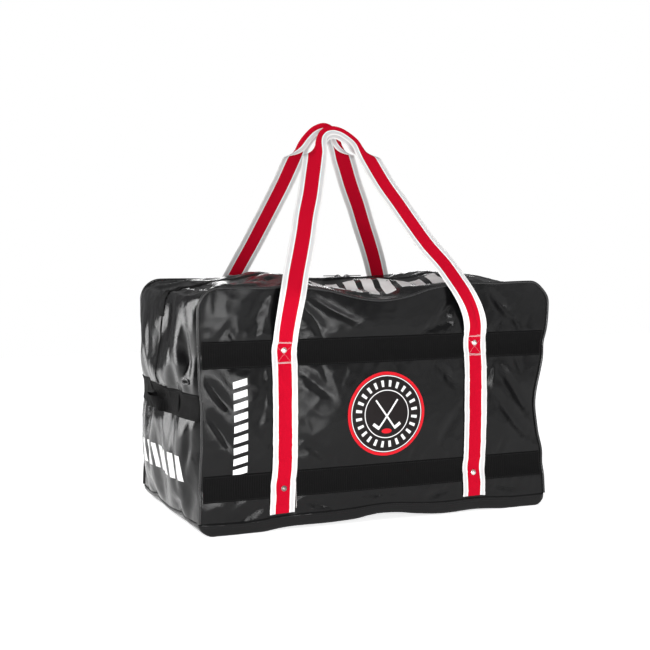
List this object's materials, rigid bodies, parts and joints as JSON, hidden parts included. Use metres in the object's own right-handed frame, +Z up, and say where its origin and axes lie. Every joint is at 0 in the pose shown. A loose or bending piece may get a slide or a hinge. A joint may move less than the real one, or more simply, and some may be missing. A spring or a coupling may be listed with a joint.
{
  "type": "hockey equipment bag",
  "caption": "Large box-shaped sports equipment bag with two long carry handles, two end grab handles, webbing bands and a lid that opens along a lengthwise zip.",
  "frame": {"origin": "on the floor under the middle of the bag", "axes": "+X along the bag towards its right end, +Y from the front to the rear, +Z up"},
  "size_m": [0.8306, 0.4192, 0.789],
  "materials": {
    "coated_pvc": "glossy coated cloth with a fine rib",
    "piping_vinyl": "smooth vinyl cord",
    "black_webbing": "matt black ribbed webbing",
    "striped_webbing": "three-stripe webbing, red between white edges",
    "zip_tape": "matt black woven zip tape",
    "zip_coil": "black nylon coil",
    "dark_zinc": "black nickel plated zinc",
    "nickel": "domed, nickel plated, lightly worn",
    "crest_vinyl": "printed vinyl roundel, red, white and black"
  },
  "bodies": {
    "root": {"base_panel": "coated_pvc", "front_panel": "coated_pvc", "front_upper_band": "black_webbing", "front_lower_band": "black_webbing", "front_piping": "piping_vinyl", "front_left_strap_leg": "striped_webbing", "front_left_upper_rivet": "nickel", "front_left_lower_rivet": "nickel", "front_right_strap_leg": "striped_webbing", "front_right_upper_rivet": "nickel", "front_right_lower_rivet": "nickel", "rear_panel": "coated_pvc", "rear_upper_band": "black_webbing", "rear_lower_band": "black_webbing", "rear_piping": "piping_vinyl", "rear_left_strap_leg": "striped_webbing", "rear_left_upper_rivet": "nickel", "rear_left_lower_rivet": "nickel", "rear_right_strap_leg": "striped_webbing", "rear_right_upper_rivet": "nickel", "rear_right_lower_rivet": "nickel", "left_end_panel": "coated_pvc", "left_top_yoke": "coated_pvc", "left_zip_end": "zip_tape", "left_end_band": "black_webbing", "left_front_anchor": "black_webbing", "left_rear_anchor": "black_webbing", "left_eyelet": "dark_zinc", "right_end_panel": "coated_pvc", "right_top_yoke": "coated_pvc", "right_zip_end": "zip_tape", "right_end_band": "black_webbing", "right_front_anchor": "black_webbing", "right_rear_anchor": "black_webbing", "right_eyelet": "dark_zinc", "crest_patch": "crest_vinyl"},
    "front_lid": {"front_lid_flap": "coated_pvc", "front_zip_tape": "zip_tape", "front_zip_coil": "zip_coil"},
    "rear_lid": {"rear_lid_flap": "coated_pvc", "rear_zip_tape": "zip_tape", "rear_zip_coil": "zip_coil"},
    "left_slider_body": {"left_slider": "dark_zinc"},
    "left_tab_body": {"left_pull_tab": "dark_zinc"},
    "right_slider_body": {"right_slider": "dark_zinc"},
    "right_tab_body": {"right_pull_tab": "dark_zinc"},
    "front_handle": {"front_handle_left_strap": "striped_webbing", "front_handle_right_strap": "striped_webbing", "front_handle_grip": "striped_webbing"},
    "rear_handle": {"rear_handle_left_strap": "striped_webbing", "rear_handle_right_strap": "striped_webbing", "rear_handle_grip": "striped_webbing"},
    "left_grab": {"left_grab_handle": "black_webbing"},
    "right_grab": {"right_grab_handle": "black_webbing"}
  },
  "joints": [
    {"name": "front_handle_swing", "type": "hinge", "parent": "root", "child": "front_handle", "pos_m": [0, -0.207, 0.459], "axis": [1, 0, 0], "range_deg": [0, 205]},
    {"name": "rear_handle_swing", "type": "hinge", "parent": "root", "child": "rear_handle", "pos_m": [0, 0.207, 0.459], "axis": [-1, 0, 0], "range_deg": [0, 205]},
    {"name": "front_lid_open", "type": "hinge", "parent": "root", "child": "front_lid", "pos_m": [0, -0.1965, 0.45742], "axis": [1, 0, 0], "range_deg": [0, 45]},
    {"name": "rear_lid_open", "type": "hinge", "parent": "root", "child": "rear_lid", "pos_m": [0, 0.1965, 0.45742], "axis": [-1, 0, 0], "range_deg": [0, 45]},
    {"name": "left_slider_run", "type": "slide", "parent": "front_lid", "child": "left_slider_body", "axis": [-1, 0, 0], "range_m": [0, 0.255]},
    {"name": "right_slider_run", "type": "slide", "parent": "front_lid", "child": "right_slider_body", "axis": [1, 0, 0], "range_m": [0, 0.255]},
    {"name": "left_tab_flip", "type": "hinge", "parent": "left_slider_body", "child": "left_tab_body", "pos_m": [-0.01, -0.0052, 0.47055], "axis": [0, 1, 0], "range_deg": [0, 110]},
    {"name": "right_tab_flip", "type": "hinge", "parent": "right_slider_body", "child": "right_tab_body", "pos_m": [0.01, -0.0052, 0.47055], "axis": [0, -1, 0], "range_deg": [0, 110]},
    {"name": "left_grab_swing", "type": "hinge", "parent": "root", "child": "left_grab", "pos_m": [-0.39264, 0, 0.239], "axis": [0, 1, 0], "range_deg": [-45, 45]},
    {"name": "right_grab_swing", "type": "hinge", "parent": "root", "child": "right_grab", "pos_m": [0.39264, 0, 0.239], "axis": [0, -1, 0], "range_deg": [-45, 45]}
  ]
}
